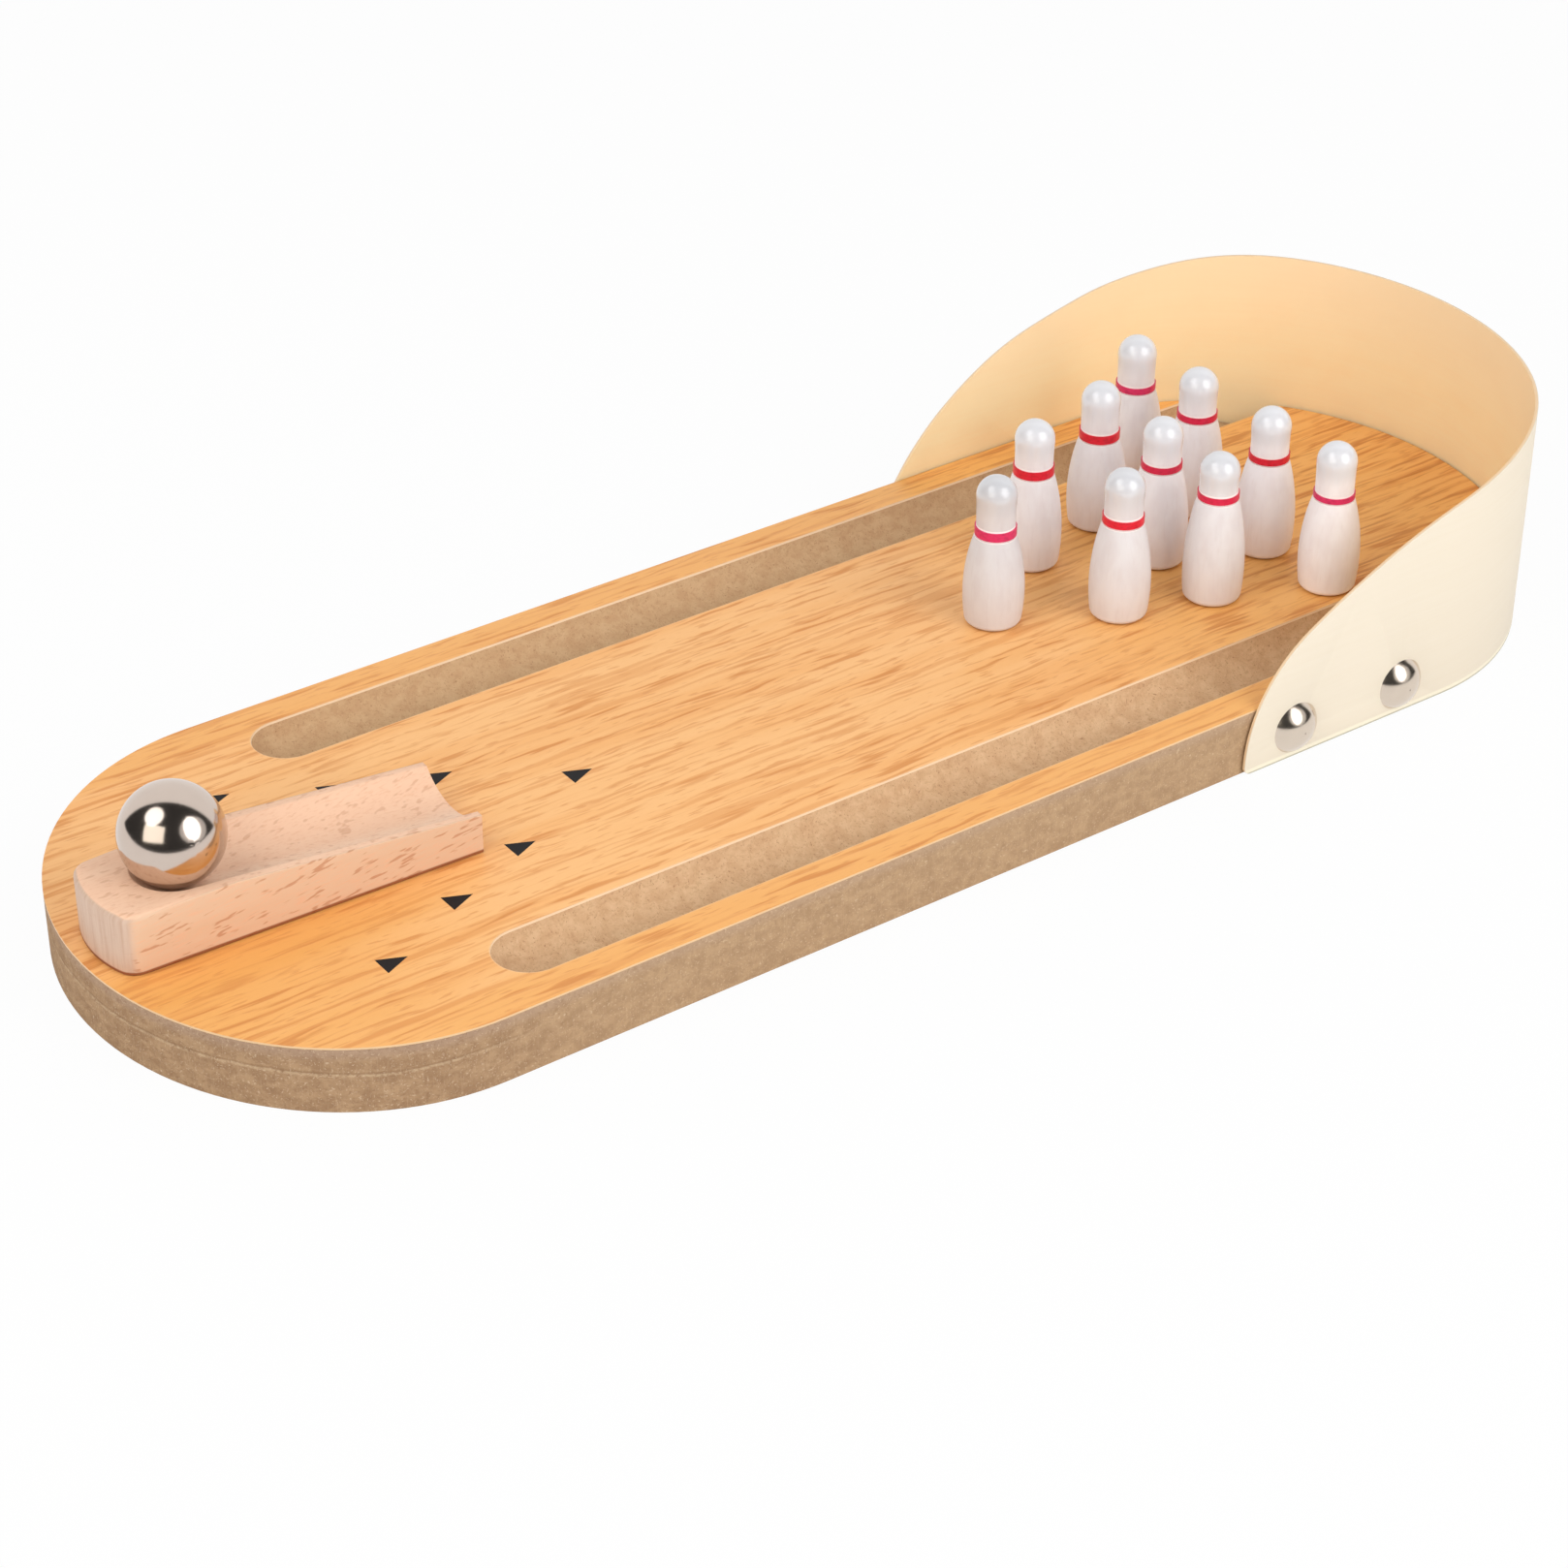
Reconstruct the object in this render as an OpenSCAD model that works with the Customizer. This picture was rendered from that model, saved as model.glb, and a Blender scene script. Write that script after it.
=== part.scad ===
// Table bowling game: a board with two gutters, a bent backstop sheet nailed round its far end,
// a swivelling launch ramp with a steel ball, and ten turned pins.
// Millimetres. X is to the player's right, Y runs down the lane from the player, Z is up.
// The origin is under the middle of the whole game, on the table top.

/* [Board] */
// Width of the board
board_w = 100; // [90:1:120]
// Length of the board
board_l = 284; // [270:1:340]
// Thickness of the board with its veneer
board_t = 12; // [10:0.5:18]
// Thickness of the wood veneer on top
veneer_t = 0.4; // [0.3:0.1:1.5]
// Depth of each rounded end, which is half an ellipse
end_depth = 45; // [30:0.5:50]

/* [Gutters] */
// Distance from the middle line to the middle of each gutter
gutter_offset = 37.4; // [35:0.1:42]
// Radius of the round cutter that makes the gutters
gutter_r = 6.3; // [5:0.1:7]
// Depth of the gutters
gutter_depth = 5; // [3:0.1:6]
// Distance from the board's front tip to the gutters
gutter_start = 51.3; // [40:0.1:80]

/* [Aiming arrows] */
// Width of an arrow's base
arrow_w = 4.2; // [3:0.1:7]
// Length of an arrow
arrow_l = 4.7; // [3:0.1:7]
// Thickness of the arrows' ink
arrow_t = 0.1; // [0.05:0.05:0.2]
// Distance of each arrow pair from the middle line, middle arrow first
arrow_offsets = [0, 12.7, 19.6, 28.1];
// Distance of each arrow's base from the board's front tip, middle arrow first
arrow_starts = [88.9, 69.7, 53.6, 36.6];

/* [Backstop] */
// Thickness of the bent sheet
guard_t = 0.6; // [0.4:0.1:2]
// Height of the sheet from the table top
guard_h = 43; // [38:0.5:60]
// Length of the sheet from its front edges to its far side
guard_l = 92.4; // [80:0.1:110]
// Height of the upright part of the sheet's front edges
front_edge_h = 0.5; // [0.2:0.1:8]
// Length of the level rim before the far end
rim_level_l = 9; // [2:0.1:20]
// Radius of the shoulder between the front edge and the rim
shoulder_r = 26; // [12:0.5:30]
// Radius of the sheet's lower front corner
sheet_corner_r = 1; // [0.5:0.1:4]

/* [Backstop nails] */
// Diameter of a nail's dome head
nail_head_d = 9.5; // [6:0.1:10]
// Height of a nail's dome head
nail_head_h = 2.6; // [1:0.1:4]
// Diameter of a nail's shank
nail_shank_d = 1.8; // [1.2:0.1:2.5]
// Length of a nail's shank
nail_shank_l = 10; // [8:0.5:12]
// Height of the nails above the table top
nail_height = 5.7; // [5.2:0.1:7]
// Distance from the sheet's front edge to the first nail
nail_first = 11.2; // [8:0.1:14]
// Distance between a side's two nails
nail_pitch = 24.5; // [15:0.5:32]

/* [Launch ramp] */
// Width of the ramp
ramp_w = 19; // [18.5:0.1:24]
// Length of the ramp
ramp_l = 63.8; // [55:0.1:80]
// Distance from the board's front tip to the ramp
ramp_start = 2.4; // [2:0.1:8]
// Height of the ramp where the ball waits
ramp_back_h = 10.6; // [9.5:0.1:16]
// Height of the ramp at its far end
ramp_front_h = 7; // [6:0.1:9]
// Length of the level part behind the slope
ramp_level_l = 20.6; // [16:0.1:26]
// Distance from the ramp's near end to the ball's seat, where the groove begins
seat_inset = 15; // [11:0.1:19]
// Radius of the ball groove and of its round nose
groove_r = 10.5; // [9.8:0.1:13]
// Depth of the ball groove at the ball's seat
seat_depth = 2.8; // [1.5:0.1:3.2]
// Depth of the ball groove at the ramp's far end
exit_depth = 3.8; // [2:0.1:4]
// Radius of the ramp's near corners
ramp_corner_r = 3.5; // [1:0.1:4]
// Angle that the ramp is turned to the right as it stands
ramp_turn = 1.6; // [-10:0.1:10]

/* [Ramp pivot] */
// Distance from the ramp's near end to its pivot, the centre of the near end's arc
pivot_inset = 21; // [16:0.1:26]
// Diameter of the pivot screw's shank
screw_d = 3.5; // [3:0.1:4]
// Diameter of the pivot screw's head
screw_head_d = 7; // [6:0.1:8]
// Height of the pivot screw's head
screw_head_h = 2.1; // [1.5:0.1:2.4]
// Depth that the screw bites into the ramp
screw_bite = 4.5; // [3:0.1:5]
// Width of the cross recess in the screw's head
recess_w = 0.9; // [0.6:0.1:1.2]
// Length of the cross recess in the screw's head
recess_l = 4; // [3:0.1:5]
// Depth of the cross recess in the screw's head
recess_depth = 1.2; // [0.8:0.1:1.4]
// Diameter of the washer
washer_d = 9; // [8:0.1:9.8]
// Thickness of the washer
washer_t = 0.8; // [0.5:0.1:1]
// Room around the washer in its counterbore
counterbore_gap = 0.5; // [0.2:0.1:1]
// How far the screw's head is sunk above the table top
screw_sink = 0.4; // [0.2:0.1:1]

/* [Ball] */
// Diameter of the steel ball
ball_d = 17; // [14:0.5:18]

/* [Pins] */
// Height of a pin
pin_h = 28.4; // [27.5:0.1:32]
// Radius of a pin's head
pin_head_r = 3.6; // [3.5:0.05:3.8]
// Radius of a pin's neck
pin_neck_r = 3.45; // [3.3:0.05:3.5]
// Distance from the painted band up to the thinnest part of a pin's neck
pin_neck_up = 1; // [0.5:0.1:1.5]
// Radius of a pin's belly
pin_belly_r = 5.45; // [5:0.05:5.8]
// Height of a pin's belly
pin_belly_z = 6.2; // [5:0.1:8]
// Radius of a pin's base edge
pin_edge_r = 1.2; // [0.4:0.1:1.8]
// Radius over the painted band, where the body's arc ends
band_r = 3.7; // [3.65:0.05:3.9]
// Thickness of the painted band
band_t = 0.3; // [0.15:0.05:0.4]
// Height of the middle of each pin's painted band, by rows from the right, head pin first
band_middles = [18.2, 19.1, 19, 20.5, 19.5, 18.4, 18.5, 19.1, 19.4, 18.7];
// Height that each pin's painted band covers, in the same order
band_heights = [1.6, 1.4, 1.6, 1.2, 1.2, 1.6, 1, 1.2, 1.2, 1.2];
// Width of the turned line above and below a band
line_w = 0.25; // [0.1:0.05:0.4]
// Distance from the head pin to the board's far tip
rack_depth = 106.5; // [95:0.1:115]
// Distance between the rows of pins
row_pitch = 18.6; // [17:0.1:22]
// Distance between the outer pins of each row
row_spreads = [0, 23.4, 33, 52.8];
// How far each pin was set down from its spot, to the right and down the lane
pin_shifts = [
    [0.5, 0], [-0.3, 1], [-0.2, -0.1], [-0.1, -0.2], [0.6, 0.4],
    [0, 0.4], [-0.9, 0.4], [0, 0.1], [-1.6, -0.2], [-0.6, -0.7]
];

/* [Fits] */
// Gap under what stands, turns or rolls on the lane
glide_gap = 0.1; // [0.05:0.01:0.15]
// Radial clearance of what turns in a hole
running_gap = 0.05; // [0.03:0.01:0.1]
// Radial clearance of what is driven or screwed into wood
grip_gap = 0.02; // [0.01:0.01:0.05]
// Gap between the board's edge and the bent sheet
wrap_gap = 0.4; // [0.05:0.05:0.6]

/* [Hidden] */
pin_count = len(band_heights);

// Facets of a full circle: large outlines, middling parts and small holes
round_large = 240;
round_medium = 120;
round_small = 48;
// Steps round an end of the board and round the near end of the ramp
board_end_steps = 60;
ramp_end_steps = 16;
ramp_corner_steps = 8;
// How far a cutting shape runs past what it cuts
overcut = 1;

// Board: its middle, its tips and the fibreboard under the veneer
board_mid_y = -(wrap_gap + guard_t) / 2;
front_tip_y = board_mid_y - board_l / 2;
far_tip_y = board_mid_y + board_l / 2;
core_t = board_t - veneer_t;
lane_z = board_t + glide_gap;

// Ramp: its pivot, slope and groove
pivot_y = front_tip_y + ramp_start + pivot_inset;
seat_floor_h = ramp_back_h - seat_depth;
exit_floor_h = ramp_front_h - exit_depth;
groove_tilt = atan((seat_floor_h - exit_floor_h) / (ramp_l - seat_inset));
ramp_corner_x = ramp_w / 2 - ramp_corner_r;
ramp_seam_angle = asin(ramp_corner_x / (pivot_inset - ramp_corner_r));
ramp_corner_y = pivot_inset - (pivot_inset - ramp_corner_r) * cos(ramp_seam_angle);

// Pivot screw and its counterbore, upwards from the table top
screw_seat_z = screw_sink + screw_head_h;
washer_z = screw_seat_z + glide_gap;
counterbore_depth = washer_z + washer_t;
screw_tip_z = lane_z + screw_bite;

// Backstop: its rim is a long arc that touches the shoulder and lies level at the far end
guard_front_y = far_tip_y + wrap_gap + guard_t - guard_l;
shoulder_z = sheet_corner_r + front_edge_h;
rim_arc_y = guard_l - rim_level_l;
rim_run = rim_arc_y - shoulder_r;
rim_rise = guard_h - shoulder_z;
rim_arc_r = (pow(rim_run, 2) + pow(rim_rise, 2) - pow(shoulder_r, 2)) / (2 * (rim_rise - shoulder_r));
rim_arc_z = guard_h - rim_arc_r;
shoulder_end_angle = atan2(shoulder_z - rim_arc_z, -rim_run);

// Nails: the sphere of the dome head
nail_dome_r = (pow(nail_head_d / 2, 2) + pow(nail_head_h, 2)) / (2 * nail_head_h);

// Pins: places of all pins, head pin first, by rows from the right
pin_places = [
    for (row = [0:len(row_spreads) - 1])
    for (place = [0:row])
    let (share = row == 0 ? 0 : 0.5 - place / row)
    [row_spreads[row] * share, far_tip_y - rack_depth + row * row_pitch]
];
pin_head_z = pin_h - pin_head_r;
band_seat_r = band_r - band_t;

// Points along an arc
function arc_points(centre, r, from, to, steps) = [
    for (i = [0:steps])
    let (turn = from + (to - from) * i / steps)
    centre + r * [cos(turn), sin(turn)]
];

// Points round the board's far end from right to left, moved outwards by the distance given
function board_end_points(grow) = [
    for (i = [0:board_end_steps])
    let (turn = 180 * i / board_end_steps, outward = [end_depth * cos(turn), board_w / 2 * sin(turn)])
    [board_w / 2 * cos(turn), board_l / 2 - end_depth + end_depth * sin(turn)] + grow * outward / norm(outward)
];

// Flat outline of the board, grown outwards for what wraps round it
module board_outline(grow = 0) {
    polygon(concat(board_end_points(grow), [for (point = board_end_points(grow)) -point]));
}

// Path of a round-nosed cutter from its first place, the origin, along the Z axis
module cutter_path(r, path_l) {
    rotate_extrude($fn = round_medium)
        intersection() {
            union() {
                circle(r = r, $fn = round_medium);
                square([r, path_l]);
            }
            translate([0, -r])
                square([r, r + path_l]);
        }
}

// Cutter path of one gutter, out through the board's far end
module gutter_cut(side) {
    half_w = sqrt(pow(gutter_r, 2) - pow(gutter_r - gutter_depth, 2));
    first_y = front_tip_y + gutter_start + half_w;
    translate([side * gutter_offset, first_y, board_t - gutter_depth + gutter_r])
        rotate([-90, 0, 0])
            cutter_path(gutter_r, board_l);
}

// Hole through the board for the pivot screw
module pivot_hole() {
    translate([0, pivot_y, -overcut])
        cylinder(d = screw_d + 2 * running_gap, h = board_t + 2 * overcut, $fn = round_small);
}

// Puts a shape at each of the four nails, with its Z axis out of the board's side
module at_nails() {
    for (side = [-1, 1])
        for (i = [0, 1])
            translate([
                side * (board_w / 2 + wrap_gap + guard_t),
                guard_front_y + nail_first + i * nail_pitch,
                nail_height
            ])
                rotate([0, side * 90, 0])
                    children();
}

// Nail hole in the board or the sheet
module nail_hole(gap) {
    translate([0, 0, -nail_shank_l - gap])
        cylinder(d = nail_shank_d + 2 * gap, h = nail_shank_l + 2 * gap, $fn = round_small);
}

// Flat triangle of one aiming arrow, its base on the X axis
module arrow_shape() {
    polygon([[-arrow_w / 2, 0], [arrow_w / 2, 0], [0, arrow_l]]);
}

// All aiming arrows as a solid of the given height, down from the lane's surface
module arrow_solids(depth, above = 0) {
    for (i = [0:len(arrow_offsets) - 1])
        for (side = i == 0 ? [1] : [-1, 1])
            translate([side * arrow_offsets[i], front_tip_y + arrow_starts[i], board_t - depth])
                linear_extrude(depth + above)
                    arrow_shape();
}

// Puts a shape made at the ramp's pivot where the ramp stands on the lane
module at_ramp() {
    translate([0, pivot_y, lane_z])
        rotate([0, 0, -ramp_turn])
            children();
}

// Board of fibreboard with both gutters, the nail holes and the screw's counterbore
module lane_core() {
    color("#c2a078")
    difference() {
        translate([0, board_mid_y, 0])
            linear_extrude(core_t)
                board_outline();
        for (side = [-1, 1])
            gutter_cut(side);
        pivot_hole();
        translate([0, pivot_y, -overcut])
            cylinder(d = washer_d + 2 * counterbore_gap, h = counterbore_depth + overcut, $fn = round_small);
        at_nails()
            nail_hole(grip_gap);
    }
}

// Wood veneer that covers the board, cut by the same gutters
module lane_veneer() {
    color("#f5b97a")
    difference() {
        translate([0, board_mid_y, core_t])
            linear_extrude(veneer_t)
                board_outline();
        for (side = [-1, 1])
            gutter_cut(side);
        pivot_hole();
        arrow_solids(arrow_t, overcut);
    }
}

// Printed arrows that help the player to aim
module aim_arrows() {
    color("#231f20")
        arrow_solids(arrow_t);
}

// Side profile of the backstop sheet, from its lower front corner
module guard_profile() {
    polygon(concat(
        arc_points([sheet_corner_r, sheet_corner_r], sheet_corner_r, 270, 180, 8),
        arc_points([shoulder_r, shoulder_z], shoulder_r, 180, shoulder_end_angle, 20),
        arc_points([rim_arc_y, rim_arc_z], rim_arc_r, shoulder_end_angle, 90, 32),
        [[guard_l + overcut, guard_h], [guard_l + overcut, 0]]
    ));
}

// Thin sheet bent round the board's far end, falling to the board's edge at both sides
module backstop_guard() {
    color("#f6e3c3")
    difference() {
        intersection() {
            translate([0, board_mid_y, 0])
                linear_extrude(guard_h)
                    difference() {
                        board_outline(wrap_gap + guard_t);
                        board_outline(wrap_gap);
                    }
            translate([0, guard_front_y, 0])
                rotate([90, 0, 90])
                    linear_extrude(board_w + 4 * (wrap_gap + guard_t), center = true)
                        guard_profile();
        }
        at_nails()
            nail_hole(grip_gap);
    }
}

// Four dome-headed nails that hold the sheet
module guard_nails() {
    color("#c8c8cc")
    at_nails() {
        intersection() {
            translate([0, 0, nail_head_h - nail_dome_r])
                sphere(r = nail_dome_r, $fn = round_medium);
            cylinder(d = nail_head_d, h = nail_head_h, $fn = round_medium);
        }
        translate([0, 0, -nail_shank_l])
            cylinder(d = nail_shank_d, h = nail_shank_l + nail_head_h / 2, $fn = round_small);
    }
}

// Washer between the screw's head and the board
module pivot_washer() {
    color("#b9b9bd")
    translate([0, pivot_y, washer_z])
        difference() {
            cylinder(d = washer_d, h = washer_t, $fn = round_small);
            translate([0, 0, -overcut])
                cylinder(d = screw_d + 2 * running_gap, h = washer_t + 2 * overcut, $fn = round_small);
        }
}

// Screw that holds the ramp from below and turns with it
module pivot_screw() {
    color("#8f9094")
    translate([0, pivot_y, 0])
        difference() {
            union() {
                translate([0, 0, screw_sink])
                    cylinder(d = screw_head_d, h = screw_head_h, $fn = round_small);
                translate([0, 0, screw_sink])
                    cylinder(d = screw_d, h = screw_tip_z - screw_sink, $fn = round_small);
            }
            for (turn = [0, 90])
                translate([0, 0, screw_sink])
                    rotate([0, 0, turn])
                        cube([recess_l, recess_w, 2 * recess_depth], center = true);
        }
}

// Cutter path of the ball groove, from the ball's seat down and out through the ramp's far end
module groove_cut() {
    translate([0, seat_inset - pivot_inset, seat_floor_h + groove_r])
        rotate([-90 - groove_tilt, 0, 0])
            cutter_path(groove_r, 2 * ramp_l);
}

// Flat outline of the ramp from its near end, which is an arc round the pivot between two corner arcs
module ramp_outline() {
    left_seam = 270 - ramp_seam_angle;
    right_seam = 270 + ramp_seam_angle;
    polygon(concat(
        arc_points([-ramp_corner_x, ramp_corner_y], ramp_corner_r, 180, left_seam, ramp_corner_steps),
        arc_points([0, pivot_inset], pivot_inset, left_seam, right_seam, ramp_end_steps),
        arc_points([ramp_corner_x, ramp_corner_y], ramp_corner_r, right_seam, 360, ramp_corner_steps),
        [[ramp_w / 2, ramp_l], [-ramp_w / 2, ramp_l]]
    ));
}

// Side profile of the ramp from its near end
module ramp_profile() {
    polygon([
        [-overcut, -overcut], [-overcut, ramp_back_h], [ramp_level_l, ramp_back_h],
        [ramp_l, ramp_front_h], [ramp_l + overcut, ramp_front_h], [ramp_l + overcut, -overcut]
    ]);
}

// Beech ramp, level and then sloping, with a round-nosed groove for the ball
module launch_ramp() {
    color("#ecc19c")
    at_ramp()
    difference() {
        translate([0, -pivot_inset, 0])
            intersection() {
                linear_extrude(ramp_back_h)
                    ramp_outline();
                rotate([90, 0, 90])
                    linear_extrude(ramp_w + 2 * overcut, center = true)
                        ramp_profile();
            }
        groove_cut();
        translate([0, 0, -overcut])
            cylinder(d = screw_d + 2 * grip_gap, h = screw_bite + 2 * grip_gap + overcut, $fn = round_small);
    }
}

// Polished ball, waiting at the nose of the groove
module steel_ball() {
    color("#d4d4d8")
    at_ramp()
        translate([0, seat_inset - pivot_inset, seat_floor_h + glide_gap + ball_d / 2])
            sphere(d = ball_d, $fn = round_medium);
}

// Half outline of a pin: body arc, seat of the band with a line on each side, neck arc, head.
// The body's arc runs from the belly to the lower line, and the hollow neck arc touches the head's.
module pin_half_outline(band_low, band_high) {
    body_end_z = band_low - line_w;
    body_rise = body_end_z - pin_belly_z;
    body_draw = pin_belly_r - band_r;
    body_arc_r = (pow(body_rise, 2) + pow(body_draw, 2)) / (2 * body_draw);
    base_r = pin_belly_r - body_arc_r + sqrt(pow(body_arc_r, 2) - pow(pin_belly_z - pin_edge_r, 2));
    neck_z = band_high + pin_neck_up;
    neck_rise = pin_head_z - neck_z;
    neck_draw = pin_head_r - pin_neck_r;
    neck_arc_r = (pow(neck_rise, 2) + pow(pin_neck_r, 2) - pow(pin_head_r, 2)) / (2 * neck_draw);
    neck_end_z = pin_head_z - neck_rise * pin_head_r / (neck_arc_r + pin_head_r);
    difference() {
        union() {
            intersection() {
                translate([pin_belly_r - body_arc_r, pin_belly_z])
                    circle(r = body_arc_r, $fn = round_large);
                square([pin_belly_r + overcut, body_end_z]);
            }
            square([band_seat_r, band_high + line_w]);
            difference() {
                translate([0, band_high])
                    square([pin_head_r, neck_end_z - band_high]);
                translate([pin_neck_r + neck_arc_r, neck_z])
                    circle(r = neck_arc_r, $fn = round_large);
            }
            intersection() {
                translate([0, pin_head_z])
                    circle(r = pin_head_r, $fn = round_medium);
                translate([0, band_high])
                    square([pin_head_r + overcut, pin_h]);
            }
        }
        translate([base_r - pin_edge_r, 0])
            difference() {
                translate([0, -overcut])
                    square([pin_edge_r + overcut, pin_edge_r + overcut]);
                translate([0, pin_edge_r])
                    circle(r = pin_edge_r, $fn = round_small);
            }
    }
}

// Height of the lower edge of a pin's painted band
function band_low_z(n) = band_middles[n - 1] - band_heights[n - 1] / 2;

// Puts a shape made at a pin's foot where that pin stands on the lane
module at_pin(n) {
    translate(concat(pin_places[n - 1] + pin_shifts[n - 1], lane_z))
        children();
}

// One turned pin
module pin(n) {
    color("#e6ddd8")
    at_pin(n)
        rotate_extrude($fn = round_medium)
            pin_half_outline(band_low_z(n), band_low_z(n) + band_heights[n - 1]);
}

// The painted band round one pin
module pin_band(n) {
    color("#d8263c")
    at_pin(n)
        rotate_extrude($fn = round_medium)
            translate([band_seat_r, band_low_z(n)])
                square([band_t, band_heights[n - 1]]);
}

lane_core();
lane_veneer();
aim_arrows();
backstop_guard();
guard_nails();
pivot_washer();
pivot_screw();
launch_ramp();
steel_ball();
for (n = [1:pin_count])
    pin(n);
for (n = [1:pin_count])
    pin_band(n);
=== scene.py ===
"""Table bowling game: finishes, softened edges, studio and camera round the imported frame."""

import math

import bpy
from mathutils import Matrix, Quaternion, Vector


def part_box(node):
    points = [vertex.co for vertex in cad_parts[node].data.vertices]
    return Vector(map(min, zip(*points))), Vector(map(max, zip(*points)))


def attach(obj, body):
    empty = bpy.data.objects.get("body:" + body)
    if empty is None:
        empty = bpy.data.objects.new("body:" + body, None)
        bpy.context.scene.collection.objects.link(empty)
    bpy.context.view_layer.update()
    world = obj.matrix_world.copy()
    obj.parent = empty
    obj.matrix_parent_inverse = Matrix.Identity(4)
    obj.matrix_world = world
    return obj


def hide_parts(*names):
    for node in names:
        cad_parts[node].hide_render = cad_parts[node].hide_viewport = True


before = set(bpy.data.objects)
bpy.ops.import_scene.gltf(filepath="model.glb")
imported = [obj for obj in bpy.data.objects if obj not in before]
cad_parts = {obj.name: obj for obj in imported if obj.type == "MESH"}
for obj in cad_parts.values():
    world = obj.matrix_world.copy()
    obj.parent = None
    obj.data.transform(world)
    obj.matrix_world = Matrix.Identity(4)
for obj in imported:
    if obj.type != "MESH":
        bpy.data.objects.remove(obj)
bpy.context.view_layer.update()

MM = 0.001

# Board, from its veneer: half width, ends that are half ellipses, and the top
board_low, board_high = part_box("lane_veneer")
board_half_w = board_high.x
board_mid_y = (board_low.y + board_high.y) / 2
board_half_l = (board_high.y - board_low.y) / 2
board_top = board_high.z
board_end_depth = 45 * MM

# Gutters, as the round cutter leaves them in the veneer
gutter_offset = 37.4 * MM
gutter_half_w = 6.16 * MM
gutter_first_y = board_low.y + 51.3 * MM + gutter_half_w

# Sheet: how its left rim leaves the right one's line, each wave's middle, reach and height in mm,
# the height over which the waves fade in, and how its lower front corners grow
sheet_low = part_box("backstop_guard")[0]
left_rim_waves = [(56, 8, -1.7), (77, 11, 1.1), (108, 14, -0.95)]
rim_fade_from = 7
rim_fade_reach = 8
front_corner_reach = 1.01 * MM
front_corner_growth = 1.45
sheet_rounding = 0.12 * MM

# Ramp: its pivot is the screw's middle, and it stands turned to the right. Its near end is an arc
# round the pivot, between two rounded corners whose middles are given from the pivot in mm
screw_low, screw_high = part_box("pivot_screw")
pivot = (screw_low + screw_high) / 2
ramp_turn = math.radians(1.6)
ramp_half_w = 9.5 * MM
ramp_end_r = 21 * MM
ramp_low, ramp_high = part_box("launch_ramp")
ramp_foot = (ramp_low.z - pivot.z) / MM
ramp_corner_x = 6
ramp_corner_y = -16.4
ramp_rounding = 0.4 * MM
ramp_near_rounding = 1.1 * MM

# Copies of solids: how near loose corners join up, which faces count as one, and which edges stay sharp
join_reach = 0.002 * MM
flat_angle = math.radians(0.4)
sharp_angle = math.radians(30)

# Pins: the most painted brightness that a head takes
head_whitest = 0.985


def screen(red, green, blue):
    """Linear colour of a screen colour given from 0 to 255."""
    def linear(value):
        share = value / 255
        if share <= 0.04045:
            return share / 12.92
        return ((share + 0.055) / 1.055) ** 2.4
    return (linear(red), linear(green), linear(blue), 1.0)


class Tone:
    """An output of a node tree. Arithmetic on tones adds Math nodes."""

    def __init__(self, nodes, socket):
        self.nodes = nodes
        self.socket = socket

    def math(self, operation, *values):
        return self.nodes.add("ShaderNodeMath", {"operation": operation}, dict(enumerate(values)))

    def __add__(self, other):
        return self.math("ADD", self, other)

    def __radd__(self, other):
        return self.math("ADD", other, self)

    def __sub__(self, other):
        return self.math("SUBTRACT", self, other)

    def __rsub__(self, other):
        return self.math("SUBTRACT", other, self)

    def __mul__(self, other):
        return self.math("MULTIPLY", self, other)

    def __rmul__(self, other):
        return self.math("MULTIPLY", other, self)

    def __truediv__(self, other):
        return self.math("DIVIDE", self, other)

    def __pow__(self, other):
        return self.math("POWER", self, other)

    def __abs__(self):
        return self.math("ABSOLUTE", self)

    def least(self, other):
        return self.math("MINIMUM", self, other)

    def most(self, other):
        return self.math("MAXIMUM", self, other)


class Nodes:
    """A node tree that grows by one method."""

    def __init__(self, tree):
        self.tree = tree

    def add(self, kind, settings, values, output=0):
        """Adds a node: its settings first, then the values or links of its sockets."""
        made = self.tree.nodes.new(kind)
        for name, value in settings.items():
            setattr(made, name, value)
        for socket, value in values.items():
            if isinstance(value, Tone):
                self.tree.links.new(value.socket, made.inputs[socket])
            else:
                made.inputs[socket].default_value = value
        return Tone(self, made.outputs[output])

    def step(self, value, start, end):
        """Rises smoothly from 0 to 1 while the value goes from start to end."""
        return self.add(
            "ShaderNodeMapRange",
            {"interpolation_type": "SMOOTHSTEP"},
            {"Value": value, "From Min": start, "From Max": end},
        )

    def band(self, value, half_width, blur):
        """Passes 1 where the value is nearer to 0 than the half width, with a soft edge."""
        return self.step(abs(value), half_width + blur, half_width)

    def mix(self, share, first, second):
        """Colour between two colours."""
        return self.add(
            "ShaderNodeMix", {"data_type": "RGBA"}, {0: share, 6: first, 7: second}, output=2
        )


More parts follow.
